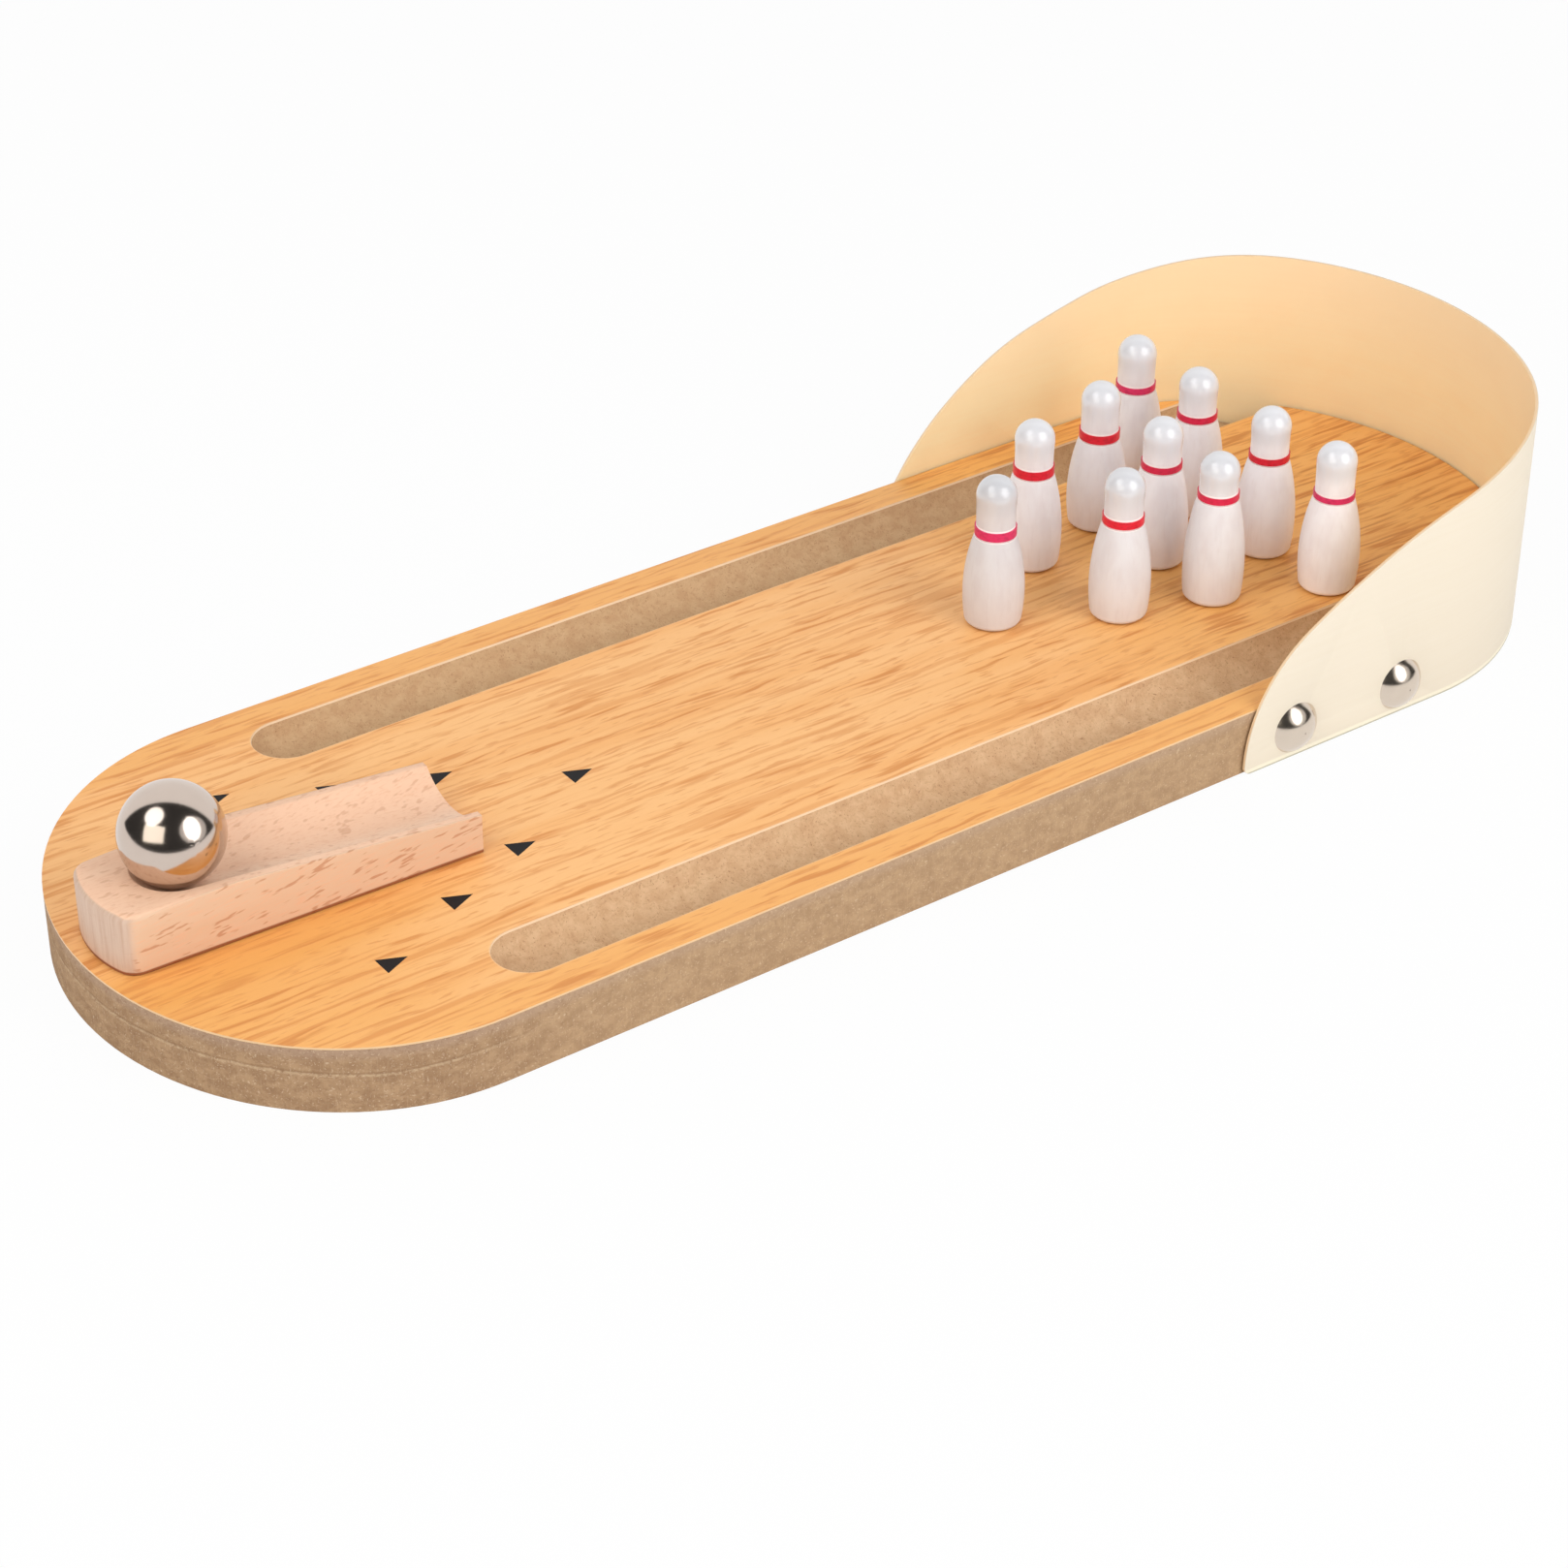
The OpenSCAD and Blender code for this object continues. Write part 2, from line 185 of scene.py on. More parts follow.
class Finish(Nodes):
    """A material of one Principled shader, varied over the piece's Object coordinates in millimetres."""

    def __init__(self, name, constants, centre=(0, 0, 0), turn=0):
        self.material = bpy.data.materials.new(name)
        self.material.use_nodes = True
        super().__init__(self.material.node_tree)
        self.shader = self.tree.nodes["Principled BSDF"]
        for socket, value in constants.items():
            self.shader.inputs[socket].default_value = value
        place = self.add("ShaderNodeTexCoord", {}, {}, output="Object")
        centred = self.add(
            "ShaderNodeVectorMath", {"operation": "SUBTRACT"}, {0: place, 1: tuple(centre)}
        )
        self.place = self.add(
            "ShaderNodeMapping",
            {"vector_type": "POINT"},
            {"Vector": centred, "Rotation": (0, 0, turn), "Scale": (1 / MM, 1 / MM, 1 / MM)},
        )
        self.x = self.add("ShaderNodeSeparateXYZ", {}, {0: self.place}, output=0)
        self.y = self.add("ShaderNodeSeparateXYZ", {}, {0: self.place}, output=1)
        self.z = self.add("ShaderNodeSeparateXYZ", {}, {0: self.place}, output=2)

    def feed(self, socket, tone):
        self.tree.links.new(tone.socket, self.shader.inputs[socket])

    def warped(self, size, drift):
        """The place, moved sideways by slow noise of the size given, up to the drift."""
        slow = self.add(
            "ShaderNodeTexNoise",
            {"noise_dimensions": "3D"},
            {"Vector": self.scaled(self.place, size), "Scale": 1, "Detail": 2},
            output="Color",
        )
        off_centre = self.add(
            "ShaderNodeVectorMath", {"operation": "SUBTRACT"}, {0: slow, 1: (0.5, 0.5, 0.5)}
        )
        shift = self.add("ShaderNodeVectorMath", {"operation": "MULTIPLY"}, {0: off_centre, 1: drift})
        return self.add("ShaderNodeVectorMath", {"operation": "ADD"}, {0: self.place, 1: shift})

    def joined(self, x, y, z):
        """A place made from three tones."""
        return self.add("ShaderNodeCombineXYZ", {}, {0: x, 1: y, 2: z})

    def scaled(self, place, size):
        """A place divided by the size of a pattern's features in millimetres."""
        shares = tuple(1 / length for length in size)
        return self.add("ShaderNodeVectorMath", {"operation": "MULTIPLY"}, {0: place, 1: shares})

    def noise(self, place, size, detail=2, roughness=0.5):
        """Noise with features of the size given in millimetres."""
        return self.add(
            "ShaderNodeTexNoise",
            {"noise_dimensions": "3D"},
            {
                "Vector": self.scaled(place, size), "Scale": 1, "Detail": detail,
                "Roughness": roughness,
            },
        )

    def bump(self, height, distance):
        """Feeds a height in shares of the distance, in millimetres, to the shader's normal."""
        normal = self.add("ShaderNodeBump", {}, {"Distance": distance * MM, "Height": height})
        self.feed("Normal", normal)


def gutter_distance(finish):
    """Distance from the middle line of the nearer gutter, in millimetres."""
    across = abs(abs(finish.x) - gutter_offset / MM)
    before = (finish.y - gutter_first_y / MM).least(0)
    return (across ** 2 + before ** 2) ** 0.5


def edge_share(finish, grow):
    """Passes 1 where the board's outline, grown by some millimetres, is crossed outwards."""
    straight_l = (board_half_l - board_end_depth) / MM
    along = (abs(finish.y - board_mid_y / MM) - straight_l).most(0) / (board_end_depth / MM + grow)
    across = finish.x / (board_half_w / MM + grow)
    return along ** 2 + across ** 2


def veneer_finish():
    """Honey-coloured veneer with tapering streaks of darker grain along the lane and pale cut edges.

    It is deeper in colour on the side strips, and darker with painted shade where the ramp's shadow falls
    beside it and where the pins' shadow falls at the far end.
    """
    wood = Finish("veneer", {"Specular IOR Level": 0.4})
    place = wood.warped((6, 17, 9), (1.7, 0, 0))
    broad = wood.noise(place, (6, 100, 9), detail=2)
    rings = wood.noise(place, (1.45, 60, 6), detail=1.5, roughness=0.4)
    streaks = wood.noise(place, (1.1, 15, 4), detail=2, roughness=0.45)
    dashes = wood.noise(place, (0.62, 5, 4), detail=1)
    pores = wood.noise(place, (0.22, 2.2, 4), detail=1)
    strips = wood.step(abs(wood.x), 40, 44)
    near_end = wood.step(wood.y, -82, -118)
    far_end = wood.step(wood.y, 25, 80)
    colour = wood.mix(wood.step(broad, 0.35, 0.65), screen(251, 192, 126), screen(247, 182, 112))
    # Deeper tone on the side strips, with painted shade: the ramp's shadow on the near end's right and the
    # pins' shadow at the far end
    deep_tone_and_shade = strips.most(near_end * wood.step(wood.x, -10, 22)).most(far_end * 0.2)
    colour = wood.mix(deep_tone_and_shade * 0.75, colour, screen(243, 176, 97))
    colour = wood.mix(far_end * 0.5, colour, screen(250, 190, 104))
    # Painted shade beside the ramp, where its soft shadow falls on the lane
    ramp_shadow_paint = wood.band(wood.x - 14, 3, 6) * wood.step(wood.y, -72, -105)
    colour = wood.mix(ramp_shadow_paint * 0.6, colour, screen(236, 166, 84))
    ring_share = wood.step(rings, 0.54, 0.66) * (0.55 + near_end * 0.4)
    colour = wood.mix(ring_share, colour, screen(228, 154, 82))
    streak_share = wood.step(streaks, 0.53, 0.68) * (0.5 + wood.step(broad, 0.3, 0.6) * 0.45)
    colour = wood.mix(streak_share, colour, screen(219, 144, 76))
    dash_share = wood.step(dashes, 0.6, 0.7) * 0.6
    colour = wood.mix(dash_share, colour, screen(222, 148, 80))
    bold = wood.noise(place, (1.15, 21, 4), detail=2, roughness=0.45)
    bold_share = wood.step(bold, 0.54, 0.66) * far_end * 0.72
    colour = wood.mix(bold_share, colour, screen(203, 126, 60))
    colour = wood.mix(wood.step(pores, 0.6, 0.72) * 0.15, colour, screen(226, 152, 84))
    rim = wood.step(gutter_distance(wood), gutter_half_w / MM + 0.22, gutter_half_w / MM + 0.08)
    colour = wood.mix(rim * 0.35, colour, screen(250, 216, 172))
    cut = wood.step(wood.z, board_top / MM - 0.03, board_top / MM - 0.06)
    outer = wood.step(edge_share(wood, -0.4), 1, 1.004)
    cut_colour = wood.mix(outer, screen(245, 217, 183), screen(229, 192, 147))
    colour = wood.mix(cut, colour, cut_colour)
    wood.feed("Base Color", colour)
    wood.feed("Roughness", 0.4 + streak_share * 0.16)
    wood.bump(1 - streak_share - dash_share, 0.02)
    return wood.material


def fibreboard_finish():
    """Fibreboard: mottled and sawn round its edge, smoother and lighter where the gutters are cut.

    A pale line and a dark one run round its near end, half way up, and its left gutter is browner. Painted
    light makes its long sides lighter than its near end.
    """
    board = Finish("fibreboard", {"Specular IOR Level": 0.15})
    place = board.warped((1.8, 1.8, 1.8), (1.4, 1.4, 1.4))
    clouds = board.noise(place, (3, 3, 1.8), detail=3, roughness=0.6)
    mottles = board.noise(place, (0.8, 0.8, 0.6), detail=3, roughness=0.7)
    specks = board.noise(place, (0.36, 0.36, 0.36), detail=2, roughness=0.7)
    sawn = board.step(edge_share(board, -0.8), 0.995, 1.005)
    dents = board.step(mottles, 0.5, 0.68)
    nibs = board.step(specks, 0.42, 0.3)
    upper = board.step(board.z, 9, 11)
    side = board.mix(board.step(clouds, 0.32, 0.68), screen(155, 123, 93), screen(176, 144, 111))
    side = board.mix(upper * 0.6, side, screen(172, 145, 125))
    side = board.mix(dents * 0.65, side, screen(146, 114, 87))
    side = board.mix(nibs * 0.7, side, screen(208, 183, 156))
    saw = board.noise(board.place, (0.3, 0.3, 3.5), detail=2)
    side = board.mix(board.step(saw, 0.54, 0.7) * (1 - upper) * 0.18, side, screen(201, 172, 140))
    wander = board.noise(board.place, (16, 16, 16)) * 1.6
    height = board.z - 6.2 - wander
    # Painted light: the long sides are lighter than the near end, as more light falls on them
    side = board.mix(board.step(board.y, -112, -72) * 0.22, side, screen(212, 179, 139))
    near_end = board.step(board.y, -86, -108)
    light_line = board.band(height, 0.1, 0.3) * near_end * board.step(mottles, 0.66, 0.4)
    side = board.mix(light_line * 0.5, side, screen(206, 180, 148))
    dark_line = board.band(height - 0.4, 0.06, 0.26) * near_end
    side = board.mix(dark_line * 0.35, side, screen(128, 98, 72))
    hollow = board.mix(board.step(clouds, 0.3, 0.7), screen(205, 166, 128), screen(218, 183, 144))
    hollow = board.mix(board.step(mottles, 0.5, 0.7) * 0.5, hollow, screen(184, 143, 106))
    hollow = board.mix(board.step(specks, 0.62, 0.7) * 0.75, hollow, screen(156, 110, 76))
    hollow = board.mix(nibs * 0.35, hollow, screen(232, 202, 166))
    hollow = board.mix(board.step(board.x, 10, -10) * 0.25, hollow, screen(168, 134, 91))
    board.feed("Base Color", board.mix(sawn, hollow, side))
    board.feed("Roughness", 0.8 + mottles * 0.15)
    board.bump(mottles + specks * 0.6, 0.09)
    return board.material


def print_finish():
    """Matt black printing ink."""
    ink = Finish("print", {"Specular IOR Level": 0.2})
    worn = ink.noise(ink.place, (0.5, 0.5, 0.5), detail=3)
    ink.feed("Base Color", ink.mix(worn, screen(22, 19, 20), screen(36, 32, 33)))
    ink.feed("Roughness", 0.5 + worn * 0.2)
    return ink.material


def sheet_finish():
    """Thin bent sheet: cream outside, tan inside and on its cut edge, with a painted highlight just above
    its foot and painted shade along the foot.

    Inside it is darker towards its rim, and painted light makes it lighter by the foot of its far side.
    """
    sheet = Finish("bent_sheet", {"Specular IOR Level": 0.3})
    cut = sheet.step(edge_share(sheet, 0.48), 0.998, 1.002)
    outside = sheet.step(edge_share(sheet, 0.88), 0.998, 1.002)
    place = sheet.warped((40, 40, 40), (0, 0, 2))
    grain = sheet.noise(place, (26, 26, 0.8), detail=4, roughness=0.6)
    mottle = sheet.noise(place, (9, 9, 6), detail=3)
    inner = sheet.mix(grain, screen(255, 237, 192), screen(255, 229, 178))
    inner = sheet.mix(sheet.step(mottle, 0.4, 0.8) * 0.3, inner, screen(252, 218, 166))
    inner = sheet.mix(sheet.step(sheet.z, 16, 43) * 0.8, inner, screen(244, 211, 168))
    # Painted light: lifts the shade low down on the far side's inside
    far_foot_painted_light = sheet.step(sheet.z, 26, 14) * sheet.step(sheet.y, 95, 130)
    inner = sheet.mix(far_foot_painted_light * 0.3, inner, screen(255, 246, 210))
    outer = sheet.mix(grain, screen(229, 218, 200), screen(226, 213, 192))
    inner = sheet.mix(cut, inner, screen(240, 208, 170))
    # Painted highlight: a pale strip just above the foot, where the rounded lower edge catches light
    outer = sheet.mix(sheet.step(sheet.z, 1.2, 0.8) * 0.6, outer, screen(250, 243, 220))
    # Painted shade: a dark line along the foot, where the sheet meets the ground
    foot = sheet.step(sheet.z, 0.36, 0.24)
    outer = sheet.mix(foot, outer, screen(190, 184, 162))
    sheet.feed("Base Color", sheet.mix(outside, inner, outer))
    sheet.feed("Roughness", 0.5 + mottle * 0.12)
    sheet.bump(grain, 0.012)
    return sheet.material


def beech_finish():
    """Pinkish beech with flecks along the ramp and greyer on its near end, with painted light on its
    groove's floor and painted shade along its foot.
    """
    beech = Finish("beech", {"Specular IOR Level": 0.3}, centre=pivot, turn=ramp_turn)
    place = beech.warped((8, 30, 8), (0.8, 0, 0.8))
    slanted = beech.joined(beech.x, beech.y, beech.z - beech.y * 0.16)
    broad = beech.noise(place, (3.5, 40, 3), detail=3)
    flecks = beech.noise(slanted, (1, 3.2, 0.64), detail=1)
    ripples = beech.noise(slanted, (0.34, 3, 0.3), detail=2)
    radius = (beech.x ** 2 + beech.y ** 2) ** 0.5
    near = beech.step(beech.y, -15, -16.4)
    corner = ((abs(beech.x) - ramp_corner_x) ** 2 + (beech.y - ramp_corner_y) ** 2) ** 0.5
    wall = beech.step(abs(beech.x), ramp_half_w / MM - 0.4, ramp_half_w / MM - 0.15)
    wall = wall.most(near * beech.step(radius, ramp_end_r / MM - 0.7, ramp_end_r / MM - 0.3))
    wall = wall.most(near * beech.step(corner, 3.1, 3.4) * beech.step(abs(beech.x), 5.8, 6.2))
    end = wall * near * beech.step(abs(beech.x), 9.45, 8.7)
    top = beech.mix(broad, screen(243, 204, 174), screen(240, 193, 161))
    flank = beech.mix(broad, screen(228, 195, 166), screen(221, 180, 147))
    colour = beech.mix(wall, top, flank)
    # Painted light: lifts the shade on the groove's floor toward its right rim
    groove_painted_light = beech.band(beech.x - 4.5, 1.5, 3) * beech.step(beech.y, -12, -4) * (1 - wall)
    colour = beech.mix(groove_painted_light * 0.5, colour, screen(255, 224, 198))
    ripple_share = beech.step(ripples, 0.48, 0.7) * 0.6
    colour = beech.mix(ripple_share, colour, screen(232, 182, 148))
    fleck_share = beech.step(flecks, 0.6, 0.7) * (0.34 + wall * 0.36)
    colour = beech.mix(fleck_share, colour, screen(192, 132, 96))
    rings = beech.noise(beech.place, (0.6, 4, 12), detail=3, roughness=0.6)
    cut_grain = beech.mix(beech.step(rings, 0.35, 0.7), screen(211, 183, 163), screen(200, 167, 146))
    colour = beech.mix(end, colour, cut_grain)
    # Painted shade: the ramp's lowest part darkened as its contact shadow on the lane
    foot = beech.step(beech.z, ramp_foot + 0.7, ramp_foot + 0.4)
    colour = beech.mix(foot * 0.9, colour, screen(140, 72, 28))
    beech.feed("Base Color", colour)
    beech.feed("Roughness", 0.5 + fleck_share * 0.2)
    beech.bump(1 - fleck_share - ripple_share * 0.5, 0.025)
    return beech.material


def pin_finish(name, band_low, band_high, painted_brightness):
    """White-stained turned wood: hardly any grain, whiter by the band, glossier on the head, pinkish low
    down with a painted reflection of the lane, and painted shade at its foot.

    The painted_brightness is painted light that brightens or dims this pin for the light that reaches it,
    and the head takes no more of it than head_whitest.
    """
    wood = Finish(name, {"Specular IOR Level": 0.5, "Coat Roughness": 0.16, "Coat IOR": 1.65})

    def white(red, green, blue):
        return screen(red * painted_brightness, green * painted_brightness, blue * painted_brightness)

    grain = wood.noise(wood.place, (0.7, 0.7, 9), detail=3, roughness=0.6)
    blotch = wood.noise(wood.place, (2.2, 2.2, 5), detail=2)
    above = wood.z - board_top / MM
    # More grain low down, and a painted reflection of the lane that tints the pin pinkish there
    low_grain_and_reflection = wood.step(above, 11, 1)
    colour = wood.mix(wood.step(blotch, 0.35, 0.7), white(237, 234, 236), white(232, 227, 229))
    colour = wood.mix(wood.step(grain, 0.5, 0.75) * (0.25 + low_grain_and_reflection * 0.2), colour, white(221, 213, 213))
    colour = wood.mix(low_grain_and_reflection * 0.3, colour, white(233, 220, 217))
    head = wood.step(above, 20.5, 24.5)
    head_white = min(painted_brightness, head_whitest)
    colour = wood.mix(head * 0.8, colour, screen(223 * head_white, 224 * head_white, 229 * head_white))
    middle = (band_low + band_high) / 2 / MM
    reach = (band_high - band_low) / 2 / MM + 0.28
    colour = wood.mix(wood.band(wood.z - middle, reach, 0.14), colour, screen(252, 248, 246))
    # Painted shade: the pin's foot darkened as its contact shadow on the lane
    foot = wood.step(above, 0.5, 0.1)
    colour = wood.mix(foot * 0.7, colour, screen(158, 118, 86))
    wood.feed("Base Color", colour)
    wood.feed("Roughness", 0.42 - head * 0.12 + grain * 0.06)
    wood.feed("Coat Weight", 0.15 + head * 0.85)
    wood.bump(1 - grain, 0.008)
    return wood.material


def paint_finish(name, colour):
    """Brushed-on band paint, a little thicker here and there."""
    paint = Finish(name, {"Specular IOR Level": 0.5})
    thick = paint.noise(paint.place, (0.9, 0.9, 0.5), detail=2)
    deeper = tuple(part * 0.8 for part in colour[:3]) + (1.0,)
    paint.feed("Base Color", paint.mix(paint.step(thick, 0.45, 0.7), colour, deeper))
    paint.feed("Roughness", 0.32 + thick * 0.1)
    paint.bump(thick, 0.03)
    return paint.material


def metal_finish(name, colour, smooth, smudge):
    """Plated or polished steel with faint smudges."""
    metal = Finish(name, {"Metallic": 1.0})
    smear = metal.noise(metal.place, (3, 3, 3), detail=4, roughness=0.6)
    duller = tuple(part * 0.93 for part in colour[:3]) + (1.0,)
    metal.feed("Base Color", metal.mix(smear, colour, duller))
    metal.feed("Roughness", smooth + metal.step(smear, 0.4, 0.8) * smudge)
    return metal.material


def dress(node, material):
    """Gives a piece or CAD node its one material."""
    node.data.materials.clear()
    node.data.materials.append(material)


def merged_copy(node, name):
    """A copy of a CAD node's mesh as a piece of its own, with its loose triangles joined up."""
    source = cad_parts[node]
    piece = bpy.data.objects.new(name, source.data.copy())
    bpy.context.scene.collection.objects.link(piece)
    bpy.ops.object.select_all(action="DESELECT")
    piece.select_set(True)
    bpy.context.view_layer.objects.active = piece
    bpy.ops.mesh.customdata_custom_splitnormals_clear()
    bpy.ops.object.mode_set(mode="EDIT")
    bpy.ops.mesh.select_all(action="SELECT")
    bpy.ops.mesh.remove_doubles(threshold=join_reach)
    bpy.ops.mesh.dissolve_limited(angle_limit=flat_angle)
    bpy.ops.object.mode_set(mode="OBJECT")
    return piece


def round_edges(piece, chosen, width, segments):
    """Rounds the edges whose two ends both pass the test."""
    bpy.ops.object.mode_set(mode="EDIT")
    bpy.ops.mesh.select_mode(type="EDGE")
    bpy.ops.mesh.select_all(action="DESELECT")
    bpy.ops.object.mode_set(mode="OBJECT")
    corners = piece.data.vertices
    for edge in piece.data.edges:
        edge.select = all(chosen(corners[number].co) for number in edge.vertices)
    bpy.ops.object.mode_set(mode="EDIT")
    bpy.ops.mesh.bevel(offset=width, segments=segments, affect="EDGES")
    bpy.ops.object.mode_set(mode="OBJECT")


def soften(piece, width=0, segments=1):
    """Rounds a piece's sharp edges, where a width is given, and shades the rest smooth."""
    if width:
        bevel = piece.modifiers.new("rounded_edges", "BEVEL")
        bevel.width = width
        bevel.segments = segments
        bevel.limit_method = "ANGLE"
        bevel.angle_limit = sharp_angle
        bpy.ops.object.modifier_apply(modifier=bevel.name)
    bpy.ops.object.shade_smooth_by_angle(angle=sharp_angle)


def take_over(piece, node, body, material):
    """Lets a finished copy stand for its CAD node and ride on the same body."""
    dress(piece, material)
    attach(piece, body)
    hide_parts(node)


def build_board():
    core = merged_copy("lane_core", "board_core")
    soften(core)
    take_over(core, "lane_core", "base", fibreboard_finish())
    veneer = merged_copy("lane_veneer", "board_veneer")
    soften(veneer)
    take_over(veneer, "lane_veneer", "base", veneer_finish())
    dress(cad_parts["aim_arrows"], print_finish())


def bend_sheet(sheet):
    """Gives the left rim its own dips and rise, and rounds the lower front corners a little more."""
    for corner in sheet.data.vertices:
        place = corner.co
        inward = place.y - sheet_low.y
        if inward < front_corner_reach and place.z < front_corner_reach:
            place.y = sheet_low.y + inward * front_corner_growth
            place.z *= front_corner_growth
        if place.x < 0:
            shift = sum(
                height * math.exp(-((place.y / MM - middle) / reach) ** 2)
                for middle, reach, height in left_rim_waves
            )
            rise = min(max((place.z / MM - rim_fade_from) / rim_fade_reach, 0), 1)
            place.z += shift * MM * rise ** 2 * (3 - 2 * rise)


def build_backstop():
    sheet = merged_copy("backstop_guard", "backstop_sheet")
    bend_sheet(sheet)
    soften(sheet, sheet_rounding, 2)
    take_over(sheet, "backstop_guard", "base", sheet_finish())
    dress(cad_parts["guard_nails"], metal_finish("nail", screen(223, 208, 192), 0.17, 0.04))


def build_ramp():
    ramp = merged_copy("launch_ramp", "beech_ramp")

    def on_near_rim(corner):
        away = corner - pivot
        return corner.z > ramp_high.z - 0.01 * MM and away.y < 0 and away.xy.length > ramp_end_r * 0.8

    round_edges(ramp, on_near_rim, ramp_near_rounding, 4)
    soften(ramp, ramp_rounding, 3)
    take_over(ramp, "launch_ramp", "ramp", beech_finish())
    zinc = screen(186, 188, 190)
    dress(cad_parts["pivot_washer"], metal_finish("washer", zinc, 0.35, 0.15))
    dress(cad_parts["pivot_screw"], metal_finish("screw", zinc, 0.3, 0.15))
    dress(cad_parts["steel_ball"], metal_finish("ball", screen(212, 196, 184), 0.13, 0.03))


def build_pins():
    red = screen(224, 22, 50)
    crimson = screen(217, 28, 72)
    pink = screen(219, 44, 100)
    band_paints = [pink, red, red, crimson, crimson, red, pink, red, crimson, pink]
    # Painted light: each pin's brightness, raised or lowered for the light that reaches it
    pin_painted_brightness = [0.92, 0.955, 1.01, 0.975, 1.03, 1, 1.045, 1.06, 1.01, 1]
    for number, colour in enumerate(band_paints, start=1):
        band = "pin_band_%d" % number
        band_low, band_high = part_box(band)
        wood = pin_finish("pin_wood_%d" % number, band_low.z, band_high.z, pin_painted_brightness[number - 1])
        dress(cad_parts["pin_%d" % number], wood)
        dress(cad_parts[band], paint_finish("pin_paint_%d" % number, colour))


# Camera: the photograph's place, aim, roll and lens
camera_place = Vector((441.3, -330.2, 346.1)) * MM
camera_aim = Vector((22.3, -26.0, 12.0)) * MM
camera_roll = math.radians(0.157)
camera_lens = 86.33
camera_sensor = 36.0

# Dark part of the studio behind the camera, which only polished steel shows: where it lies, how much
# light it lacks, how it leans with height, and where it starts and blurs in the room and on the floor
dark_towards = Vector((camera_place.x, camera_place.y, 0)).normalized()
dark_depth = 0.96
dark_lean = 0.18
dark_from = -0.375
dark_blur = 0.03
dark_floor_from = 0.31
dark_floor_blur = 0.02

# Softboxes: each one's name, shape, direction, size, turn in degrees, radiance and colour. They face
# the waiting ball from the same distance
waiting_ball = Vector((0, -0.125, 0.028))
softbox_distance = 0.75
softboxes = [
    ("softbox_near_high", "ELLIPSE", (-0.045, -0.528, 0.848), (0.51, 0.51), 0, 2.1, (1, 1, 1)),
    ("softbox_near_low", "RECTANGLE", (0.32, -0.818, 0.478), (0.6, 0.47), 9, 1.6, (1, 0.98, 0.9)),
    ("softbox_right", "ELLIPSE", (0.783, 0.389, 0.475), (0.49, 0.66), -16, 2.1, (1, 1, 1)),
    ("softbox_glow", "ELLIPSE", (0.85, 0.44, 0.45), (0.86, 0.7), -16, 0.6, (1, 1, 1)),
]

# Room: how brightly it lights the game from the sides, and how much of that is missing from straight
# above and below
room_level = 0.88
room_overhead_loss = 0.68

# Floor: just under the table top's level, so that no face of the game lies in it. Most of what it
# shows to the eye and in polished steel is a plain white glow, and the rest keeps the game's shadow
floor_size = 4
floor_drop = 0.05 * MM
floor_glow_seen = 0.95
floor_glow_polished = 0.97


def add_camera():
    camera = bpy.data.objects.new("camera", bpy.data.cameras.new("camera"))
    bpy.context.scene.collection.objects.link(camera)
    camera.data.lens = camera_lens
    camera.data.sensor_width = camera_sensor
    camera.data.clip_start = 0.01
    camera.data.clip_end = 50
    camera.location = camera_place
    camera.rotation_mode = "QUATERNION"
    aim = (camera_aim - camera_place).to_track_quat("-Z", "Y")
    camera.rotation_quaternion = aim @ Quaternion((0, 0, 1), camera_roll)
    bpy.context.scene.camera = camera


def add_softbox(name, shape, direction, size, turn, radiance, colour):
    """A lamp that faces the waiting ball from the direction given."""
    lamp = bpy.data.lights.new(name, "AREA")
    lamp.shape = shape
    lamp.size, lamp.size_y = size
    lamp.color = colour
    share = math.pi / 4 if shape == "ELLIPSE" else 1
    lamp.energy = radiance * math.pi * share * size[0] * size[1]
    box = bpy.data.objects.new(name, lamp)
    bpy.context.scene.collection.objects.link(box)
    towards = Vector(direction).normalized()
    box.location = waiting_ball + towards * softbox_distance
    box.rotation_mode = "QUATERNION"
    facing = (-towards).to_track_quat("-Z", "Y")
    box.rotation_quaternion = facing @ Quaternion((0, 0, 1), math.radians(turn))


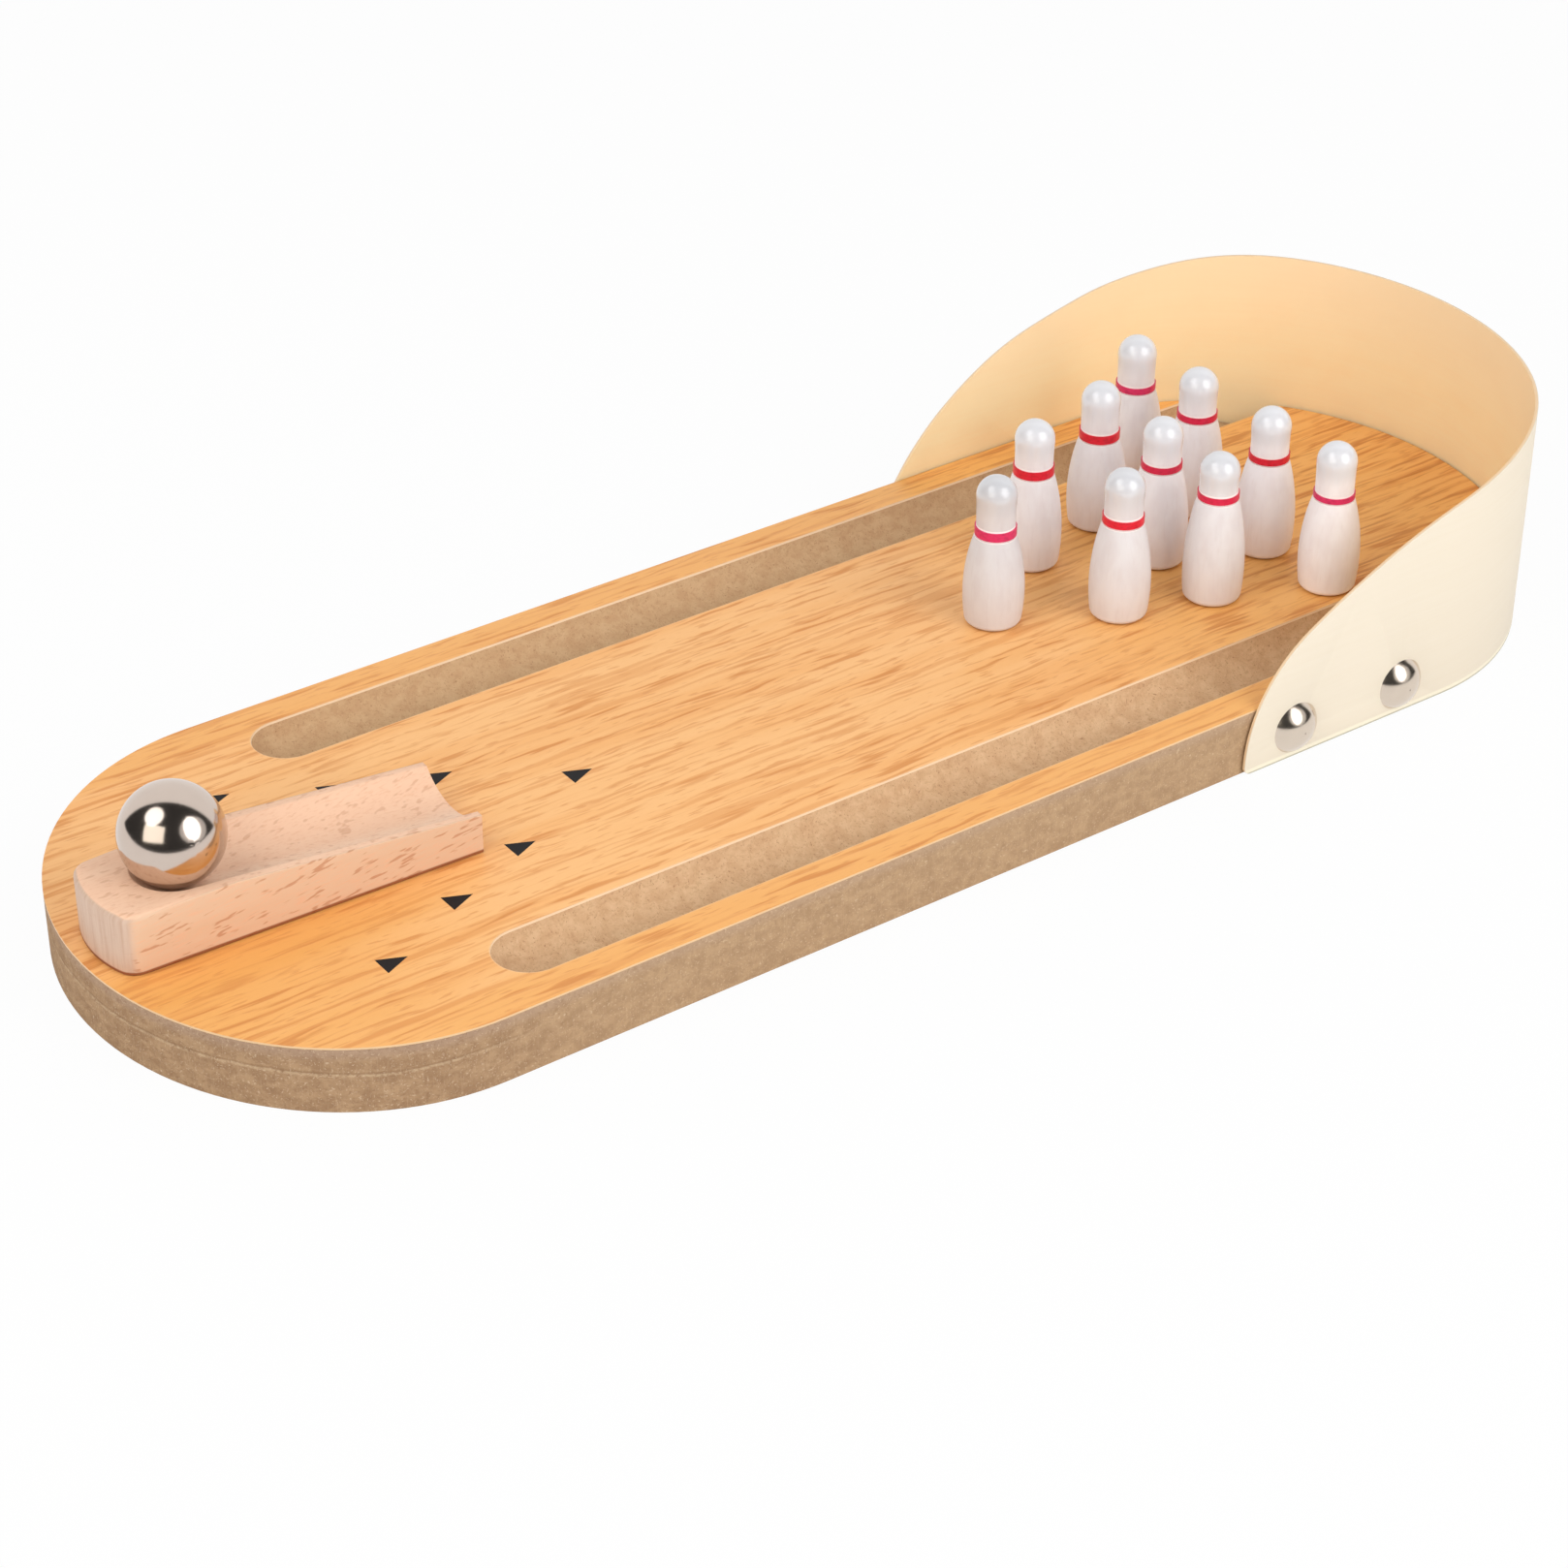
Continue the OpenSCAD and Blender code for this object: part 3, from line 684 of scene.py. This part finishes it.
def add_room():
    """White to the eye and in polish, apart from a dark side, and a plain level of light otherwise."""
    world = bpy.data.worlds.new("room")
    bpy.context.scene.world = world
    world.use_nodes = True
    room = Nodes(world.node_tree)
    background = world.node_tree.nodes["Background"]
    direction = room.add("ShaderNodeTexCoord", {}, {}, output="Generated")
    height = room.add("ShaderNodeSeparateXYZ", {}, {0: direction}, output=2)
    facing = room.add(
        "ShaderNodeVectorMath",
        {"operation": "DOT_PRODUCT"},
        {0: direction, 1: tuple(dark_towards)},
        output="Value",
    )
    leaning = facing - height * dark_lean
    dark_side = room.step(leaning, dark_from - dark_blur, dark_from + dark_blur)
    camera = room.add("ShaderNodeLightPath", {}, {}, output="Is Camera Ray")
    glossy = room.add("ShaderNodeLightPath", {}, {}, output="Is Glossy Ray")
    through = room.add("ShaderNodeLightPath", {}, {}, output="Is Transmission Ray")
    seen = camera.most(through).most(glossy * (1 - dark_side * dark_depth))
    plain = (1 - height ** 2 * room_overhead_loss) * room_level
    strength = seen + (1 - camera.most(through).most(glossy)) * plain
    world.node_tree.links.new(strength.socket, background.inputs["Strength"])
    background.inputs["Color"].default_value = (1, 1, 1, 1)


def add_floor():
    """Plain white floor that keeps a faint shadow of the game."""
    bpy.ops.object.select_all(action="DESELECT")
    bpy.ops.mesh.primitive_plane_add(size=floor_size, location=(0, 0, 0))
    floor = bpy.context.object
    floor.name = "floor"
    floor.location.z = -floor_drop
    material = bpy.data.materials.new("floor_white")
    material.use_nodes = True
    nodes = Nodes(material.node_tree)
    shader = material.node_tree.nodes["Principled BSDF"]
    shader.inputs["Base Color"].default_value = (0.82, 0.82, 0.82, 1)
    shader.inputs["Roughness"].default_value = 0.9
    shader.inputs["Specular IOR Level"].default_value = 0.1
    place = nodes.add("ShaderNodeTexCoord", {}, {}, output="Object")
    facing = nodes.add(
        "ShaderNodeVectorMath",
        {"operation": "DOT_PRODUCT"},
        {0: place, 1: tuple(dark_towards)},
        output="Value",
    )
    dark_part = nodes.step(
        facing, dark_floor_from - dark_floor_blur, dark_floor_from + dark_floor_blur
    )
    camera = nodes.add("ShaderNodeLightPath", {}, {}, output="Is Camera Ray")
    glossy = nodes.add("ShaderNodeLightPath", {}, {}, output="Is Glossy Ray")
    dimmed = 1 - dark_depth
    shown = nodes.mix(glossy * dark_part, (1, 1, 1, 1), (dimmed, dimmed, dimmed, 1))
    glow = nodes.add("ShaderNodeEmission", {}, {"Color": shown, "Strength": 1})
    lit = Tone(nodes, shader.outputs["BSDF"])
    glow_share = camera * floor_glow_seen + glossy * floor_glow_polished
    mixed = nodes.add("ShaderNodeMixShader", {}, {0: glow_share, 1: lit, 2: glow})
    output = material.node_tree.nodes["Material Output"]
    material.node_tree.links.new(mixed.socket, output.inputs["Surface"])
    floor.data.materials.append(material)


build_board()
build_backstop()
build_ramp()
build_pins()
add_camera()
add_room()
add_floor()
for softbox in softboxes:
    add_softbox(*softbox)

bpy.context.scene.view_settings.view_transform = "Standard"
